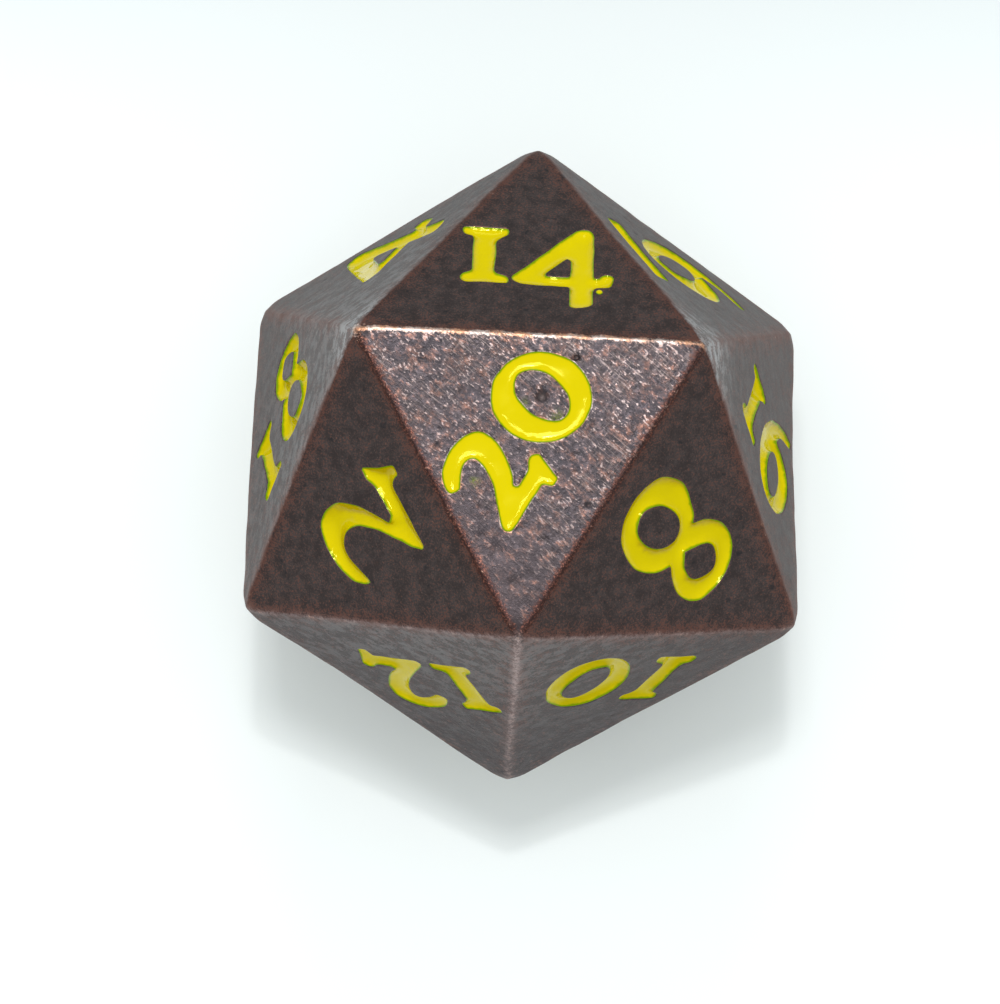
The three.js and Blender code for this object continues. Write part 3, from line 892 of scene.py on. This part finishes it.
def fill_mesh(number, name, figure):
    """One poured figure: a top that sinks between the walls, sides and a bottom."""
    walls = [moved(ring, -OVERLAP) for ring in figure]
    near = np.vstack([moved(ring, inset) for inset in ENAMEL_RINGS for ring in figure])
    insets = np.repeat(ENAMEL_RINGS, sum(len(ring) for ring in figure)) + OVERLAP
    near = near[wall_distance(near, walls) > 0.9 * insets]
    grid = lattice(walls[0].min(0), walls[0].max(0), ENAMEL_STEP)
    grid = grid[inside(grid, walls)]
    grid = grid[wall_distance(grid, walls) > ENAMEL_MARGIN]
    extra = np.vstack([near, grid])
    flat = np.vstack([*walls, extra])
    triangles = triangulated(walls, extra)
    distance = wall_distance(flat, walls)
    level = FILL_LEVEL.get(number, FILL_LEVEL_ELSEWHERE)
    reach, hollow = MENISCUS.get(number, MENISCUS_ELSEWHERE)
    wave = np.array([noise.noise(Vector((x, y, number)) * 1.3) for x, y in flat])
    level = level * (1 + 0.1 * wave)
    climb = np.clip(1 - soft_distance(flat, walls) / reach, 0, 1) ** hollow
    height = -level + (level - ENAMEL_RIM) * climb
    ring_count = sum(len(wall) for wall in walls)
    height = eased(height, triangles, ring_count)

    shell = Shell()
    shell.add(from_face(number, np.column_stack([flat, height])), triangles)
    bottom = np.vstack(walls)
    floor = np.full(len(bottom), -POCKET_DEPTH + FLOOR_GAP)
    shell.add(
        from_face(number, np.column_stack([bottom, floor])),
        triangulated(walls, np.empty((0, 2)))[:, ::-1],
    )
    points, triangles = np.vstack(shell.points), np.vstack(shell.triangles)
    start = 0
    sides = []
    for wall in walls:
        sides.append(band(len(flat) + start, start, len(wall)))
        start += len(wall)
    triangles = np.vstack([triangles, *sides])
    rim = np.r_[np.exp(-distance / GREEN_REACH), np.ones(len(bottom))]
    # Painted shade: how far the top turns away from ABOVE, beyond the tilt of its face.
    shade = np.clip((AXES[number][1][2] - point_normals(points, triangles)) @ ABOVE, 0, 1)
    shade[len(flat):] = 0
    if name in DROPS:
        x, y, radius = DROPS[name]
        local, extra = drop_mesh(x, y, radius)
        triangles = np.vstack([triangles, extra + len(points)])
        points = np.vstack([points, from_face(number, local)])
        inward = radius - np.hypot(local[:, 0] - x, local[:, 1] - y)
        rim = np.r_[rim, np.exp(-inward / DROP_GREEN_REACH)]
        shade = np.r_[shade, np.zeros(len(local))]
    check_closed(triangles)
    return bent(points), triangles, {"rim": rim, "shade": shade}


def eased(height, triangles, fixed):
    """The heights smoothed over the surface, except on the fixed first points."""
    pairs = directed_sides(triangles)
    for _ in range(EASINGS):
        total, count = np.zeros(len(height)), np.zeros(len(height))
        np.add.at(total, pairs[:, 0], height[pairs[:, 1]])
        np.add.at(count, pairs[:, 0], 1)
        mean = total / np.maximum(count, 1)
        height = np.r_[height[:fixed], (height + mean)[fixed:] / 2]
    return height


# ------------------------------ materials


class Nodes:
    """Short ways to make the nodes of a material or world. Inputs are sockets or plain values."""

    def __init__(self, owner):
        owner.use_nodes = True
        self.tree = owner.node_tree
        self.tree.nodes.clear()

    def add(self, kind, inputs=None, **settings):
        made = self.tree.nodes.new(kind)
        for key, value in settings.items():
            setattr(made, key, value)
        for key, value in (inputs or {}).items():
            socket = made.inputs[key]
            if isinstance(value, bpy.types.NodeSocket):
                self.tree.links.new(value, socket)
            else:
                socket.default_value = value
        return made

    def math(self, operation, *values):
        return self.add("ShaderNodeMath", dict(enumerate(values)), operation=operation).outputs[0]

    def plus(self, one, other):
        return self.math("ADD", one, other)

    def times(self, one, other):
        return self.math("MULTIPLY", one, other)

    def noise(self, place, scale, detail, roughness=0.55):
        inputs = {"Vector": place, "Scale": scale, "Detail": detail, "Roughness": roughness}
        return self.add("ShaderNodeTexNoise", inputs).outputs[0]

    def span(self, value, low, high, to_low=0.0, to_high=1.0):
        """A smooth step from one value, where the input is low, to another, where it is high."""
        inputs = {0: value, 1: low, 2: high, 3: to_low, 4: to_high}
        return self.add("ShaderNodeMapRange", inputs, interpolation_type="SMOOTHSTEP").outputs[0]

    def mix(self, share, one, other, blend="MIX"):
        inputs = {0: share, 6: one, 7: other}
        return self.add("ShaderNodeMix", inputs, data_type="RGBA", blend_type=blend).outputs[2]

    def attribute(self, name):
        return self.add("ShaderNodeAttribute", attribute_name=name).outputs["Fac"]

    def millimetres(self):
        """The place on the die, so that all sizes in a material are in millimetres."""
        place = self.add("ShaderNodeTexCoord").outputs["Object"]
        inputs = {0: place, 3: 1 / MM}
        return self.add("ShaderNodeVectorMath", inputs, operation="SCALE").outputs[0]

    def stretched(self, place, degrees, scale):
        """The place in axes turned about z, on which patterns are stretched by the scale."""
        inputs = {0: place, 2: (0, 0, math.radians(degrees)), 3: scale}
        return self.add("ShaderNodeMapping", inputs, vector_type="TEXTURE").outputs[0]

    def bump(self, height, depth, below=None):
        """Relief of so many millimetres, on top of another one."""
        inputs = {"Height": height, "Distance": depth * MM, "Strength": 1.0}
        if below is not None:
            inputs["Normal"] = below
        return self.add("ShaderNodeBump", inputs).outputs[0]

    def surface(self, **inputs):
        inputs = {key.replace("_", " "): value for key, value in inputs.items()}
        shader = self.add("ShaderNodeBsdfPrincipled", inputs)
        output = self.add("ShaderNodeOutputMaterial")
        self.tree.links.new(shader.outputs[0], output.inputs[0])


def metal_material():
    """Dark oxide on copper, rubbed through on face 20 and on the edges that stand out."""
    material = bpy.data.materials.new("antique_copper")
    n = Nodes(material)
    mm = n.millimetres()
    worn, ruddy, rubbed = map(n.attribute, ("worn", "ruddy", "rubbed"))
    scuffs_and_shade, dulled, stained = map(n.attribute, ("scuffs_and_shade", "dulled", "stained"))
    # Patterns of different sizes.
    mottle = n.noise(mm, 1.9, 5, 0.6)
    grain = n.noise(mm, 13.0, 3, 0.66)
    hue = n.noise(mm, 1.3, 4, 0.6)
    # The finer marks lie along the way the die was polished.
    combed = n.stretched(mm, -38, (1.7, 1, 1))
    pebbles = n.noise(combed, 11.0, 1, 0.5)
    specks = n.noise(mm, 24.0, 0)
    flecks = n.noise(combed, 4.6, 5, 0.72)

    def blend(one, other, share):
        """One pattern, broken up by so much of another."""
        return n.plus(one, n.times(n.math("SUBTRACT", other, 0.5), share))

    def hatching(turn, across):
        """Fine parallel scratches that come and go."""
        along = n.stretched(mm, turn, (1, 1 / across, 1))
        lines = n.span(n.noise(along, 0.9, 3, 0.6), 0.5, 0.64)
        return n.times(lines, n.span(n.noise(mm, 0.5, 2), 0.42, 0.58))

    scratches = n.math("MULTIPLY_ADD", hatching(50, 11), 0.4, hatching(-38, 15))
    # Nearly level strokes, for the scuffs on the steep faces.
    level = n.add("ShaderNodeMapping", {0: mm, 2: (0.3, 0.2, 0), 3: (1, 1, 1.8)}).outputs[0]
    brushed = n.noise(level, 1.7, 5, 0.6)

    # The dark oxide, redder in places and near the edges.
    cloudy = n.span(blend(mottle, grain, 1.0), 0.3, 0.7)
    oxide = n.mix(cloudy, (0.056, 0.044, 0.043, 1), (0.089, 0.073, 0.071, 1))
    red = n.span(n.plus(blend(grain, mottle, 0.4), n.times(ruddy, 0.2)), 0.53, 0.7)
    oxide = n.mix(n.times(red, 0.65), oxide, (0.19, 0.075, 0.053, 1))
    oxide = n.mix(n.times(n.math("POWER", ruddy, 2.5), 0.5), oxide, (0.11, 0.048, 0.037, 1))

    # The rubbed metal of face 20: two tones, darker hollows, and brighter marks and scratches.
    tone = n.mix(n.span(hue, 0.42, 0.6), (0.073, 0.06, 0.066, 1), (0.11, 0.064, 0.055, 1))
    tone = n.mix(n.span(flecks, 0.42, 0.6), (0.038, 0.033, 0.037, 1), tone)
    crowd = n.plus(n.span(mottle, 0.4, 0.62, -0.075, 0.085), n.times(ruddy, 0.07))
    bright = n.span(n.plus(blend(pebbles, flecks, 0.8), crowd), 0.62, 0.8)
    bright = n.plus(bright, n.times(scratches, 0.42))
    bright = n.times(bright, n.times(rubbed, 0.57))
    tone = n.mix(bright, tone, (0.47, 0.37, 0.35, 1))
    tone = n.mix(1.0, tone, n.span(rubbed, 1.0, 1.35, 1.0, 1.3), "MULTIPLY")
    colour = n.mix(n.span(rubbed, 0.0, 0.5), oxide, (0.046, 0.037, 0.04, 1))
    colour = n.mix(n.span(blend(rubbed, flecks, 1.0), 0.22, 0.9), colour, tone)
    colour = n.mix(n.times(stained, n.span(grain, 0.35, 0.6)), colour, (0.08, 0.1, 0.01, 1))

    # Copper flecks, dark spots and small sparks.
    near = n.plus(flecks, n.times(ruddy, 0.1))
    fleck = n.times(n.span(near, 0.58, 0.7), n.math("MULTIPLY_ADD", rubbed, 0.35, 0.1))
    colour = n.mix(fleck, colour, (0.42, 0.2, 0.14, 1))
    spots = n.noise(mm, 2.7, 2, 0.5)
    colour = n.mix(n.span(spots, 0.34, 0.27, 0.0, 0.6), colour, (0.026, 0.028, 0.032, 1))
    sparks = n.times(n.span(specks, 0.72, 0.8), n.span(spots, 0.5, 0.62, 0.0, 0.3))
    colour = n.mix(sparks, colour, (0.4, 0.27, 0.23, 1))

    # The ruddy edges beside face 20, the scuffs on the steep faces with the painted shade they carry, the
    # dulled edges and the bare ones.
    seam = n.span(blend(n.attribute("seam"), flecks, 2.4), 0.3, 0.9, 0.0, 0.8)
    rust = n.mix(n.span(grain, 0.5, 0.66), (0.05, 0.023, 0.02, 1), (0.25, 0.09, 0.06, 1))
    colour = n.mix(seam, colour, rust)
    streaks = n.span(blend(brushed, grain, 0.4), 0.43, 0.6, 0.3, 1.05)
    # Light grey scuffs; their share is also painted shade, smaller on the right-hand steep faces.
    scuff_and_shade_share = n.times(scuffs_and_shade, streaks)
    colour = n.mix(scuff_and_shade_share, colour, (0.36, 0.35, 0.355, 1))
    dull = n.times(dulled, n.span(blend(grain, flecks, 1.2), 0.38, 0.62, 0.25, 1.0))
    colour = n.mix(dull, colour, (0.4, 0.31, 0.3, 1))
    edge = n.span(n.plus(worn, n.math("SUBTRACT", blend(grain, flecks, 1.6), 0.5)), 0.35, 0.95)
    copper = n.mix(n.span(hue, 0.42, 0.58), (0.8, 0.65, 0.59, 1), (0.75, 0.39, 0.24, 1))
    colour = n.mix(edge, colour, copper)

    # It is smoother where it is rubbed and where the steep faces have scuffs, and its relief is livelier
    # where it is rubbed.
    rough = blend(n.math("MULTIPLY_ADD", rubbed, -0.13, 0.46), mottle, 0.3)
    rough = n.math("SUBTRACT", rough, n.times(scuff_and_shade_share, 0.12))
    lively = n.math("MULTIPLY_ADD", rubbed, 0.8, 0.2)
    relief = n.bump(mottle, 0.014)
    relief = n.bump(n.times(brushed, scuffs_and_shade), 0.012, relief)
    relief = n.bump(n.times(flecks, rubbed), 0.03, relief)
    relief = n.bump(n.times(pebbles, lively), 0.012, relief)
    relief = n.bump(n.times(specks, lively), 0.006, relief)
    relief = n.bump(n.times(scratches, lively), 0.008, relief)
    tint = (0.8, 0.8, 0.8, 1)
    n.surface(Base_Color=colour, Metallic=0.92, Roughness=rough, Normal=relief, Specular_Tint=tint)
    return material


def enamel_material():
    """Glossy yellow, with painted shade in a browner yellow on slopes that turn from the lights, and green
    where it thins out at the rim.
    """
    material = bpy.data.materials.new("poured_enamel")
    n = Nodes(material)
    mm = n.millimetres()
    rim, shade = n.attribute("rim"), n.attribute("shade")
    clouds = n.noise(mm, 0.9, 3)
    ripple = n.noise(mm, 1.2, 2, 0.4)
    uneven = n.times(n.math("SUBTRACT", n.noise(mm, 3.5, 3), 0.5), 0.4)
    yellow = n.mix(clouds, (0.56, 0.455, 0.0, 1), (0.62, 0.505, 0.0, 1))
    # Painted shade: the slopes that turn from the lights are painted a browner yellow.
    painted_shade = n.span(n.math("MULTIPLY_ADD", uneven, 0.3, shade), 0.04, 0.4, 0.0, 0.8)
    colour = n.mix(painted_shade, yellow, (0.4, 0.28, 0.0, 1))
    green = n.span(n.plus(rim, uneven), 0.36, 0.8)
    colour = n.mix(green, colour, (0.16, 0.27, 0.0, 1))
    relief = n.bump(ripple, 0.004)
    rough = n.span(clouds, 0.3, 0.7, 0.05, 0.1)
    tint = (1, 1, 0.2, 1)
    n.surface(Base_Color=colour, Roughness=rough, Normal=relief, Specular_IOR_Level=0.2, Specular_Tint=tint)
    return material


def floor_material():
    """Pale paper, with painted shade that darkens it towards the back."""
    material = bpy.data.materials.new("pale_floor")
    n = Nodes(material)
    mm = n.millimetres()
    back = n.add("ShaderNodeSeparateXYZ", {0: mm}).outputs["Y"]
    # Painted shade: darker towards the back, where less light reaches the floor.
    colour = n.mix(n.span(back, 7.0, 34.0), (0.806, 0.845, 0.845, 1), (0.525, 0.57, 0.58, 1))
    # It fades into the backdrop, so no horizon shows.
    away = n.add("ShaderNodeVectorMath", {0: mm}, operation="LENGTH").outputs["Value"]
    solid = n.span(away, 50.0, 200.0, 1.0, 0.0)
    n.surface(Base_Color=colour, Roughness=0.6, Specular_IOR_Level=0.2, Alpha=solid)
    return material


# ------------------------------ the pieces


def placed(name, data):
    """A new object in the scene."""
    thing = bpy.data.objects.new(name, data)
    bpy.context.scene.collection.objects.link(thing)
    return thing


def piece(name, made, material, sharp):
    """An object in the frame, with hard edges where its mesh turns by more than so many degrees."""
    points, triangles, fields = made
    mesh = bpy.data.meshes.new(name)
    mesh.from_pydata((points + (0, 0, INRADIUS)) * MM, [], triangles.tolist())
    for field, values in fields.items():
        attribute = mesh.attributes.new(field, "FLOAT", "POINT")
        attribute.data.foreach_set("value", values.astype(np.float32))
    mesh.shade_smooth()
    mesh.set_sharp_from_angle(angle=math.radians(sharp))
    mesh.materials.append(material)
    return placed(name, mesh)


metal = metal_material()
enamel = enamel_material()

body = piece("cast_body", body_mesh(), metal, 50)
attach(body, "root")
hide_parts("die_body")

for number in FACES:
    for name, figure in ENGRAVINGS[number]:
        fill = piece(f"fill_{name}", fill_mesh(number, name, figure), enamel, 60)
        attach(fill, "root")
        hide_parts(f"enamel_{name}")

# ------------------------------ floor, light and camera

mesh = bpy.data.meshes.new("floor")
half = 1.5
corners = [(-half, -half, 0), (half, -half, 0), (half, half, 0), (-half, half, 0)]
mesh.from_pydata(corners, [], [(0, 1, 2, 3)])
mesh.materials.append(floor_material())
floor = placed("floor", mesh)


def softbox(name, place, size, radiance):
    """A square area light that faces the die, of so much radiance."""
    light = bpy.data.lights.new(name, "AREA")
    light.shape = "SQUARE"
    light.size = size
    light.energy = radiance * math.pi * size**2
    thing = placed(name, light)
    thing.location = place
    aim = Vector((0, 0, INRADIUS * MM)) - Vector(place)
    thing.rotation_mode = "QUATERNION"
    thing.rotation_quaternion = aim.to_track_quat("-Z", "Y")


softbox("key", (-0.018, 0.098, 0.4), 0.068, 30)
softbox("back", (-0.02, 0.38, 0.31), 0.15, 4.5)
softbox("lamp", (-0.01, 0.12, 0.4), 0.016, 220)

# What the metal mirrors is brighter overhead and dimmer behind the die. The backdrop itself is plain.
world = bpy.data.worlds.new("studio")
bpy.context.scene.world = world
n = Nodes(world)
way = n.add("ShaderNodeTexCoord").outputs["Generated"]
split = n.add("ShaderNodeSeparateXYZ", {0: way})
glow = n.span(split.outputs["Z"], 0.1, 0.75, 0.48, 1.13)
glow = n.times(glow, n.span(split.outputs["Y"], 0.3, 1.0, 1.0, 0.75))
lit = n.add("ShaderNodeBackground", {"Color": (0.97, 1.0, 1.0, 1), "Strength": glow})
seen = n.add("ShaderNodeBackground", {"Color": (0.9, 0.94, 0.95, 1), "Strength": 1.0})
camera_ray = n.add("ShaderNodeLightPath").outputs["Is Camera Ray"]
mixed = n.add("ShaderNodeMixShader", {0: camera_ray, 1: lit.outputs[0], 2: seen.outputs[0]})
n.add("ShaderNodeOutputWorld", {0: mixed.outputs[0]})

# A long lens that looks down at the die, with face 20 nearly square to it.
lens = bpy.data.cameras.new("camera")
lens.sensor_width = 36
lens.lens = 162.94
lens.clip_start, lens.clip_end = 0.01, 10
camera = placed("camera", lens)
camera.location = (-0.002089, -0.020682, 0.187996)
camera.rotation_euler = [math.radians(angle) for angle in (6.1488, -0.6659, 2.3196)]
bpy.context.scene.camera = camera
bpy.context.scene.view_settings.view_transform = "Standard"
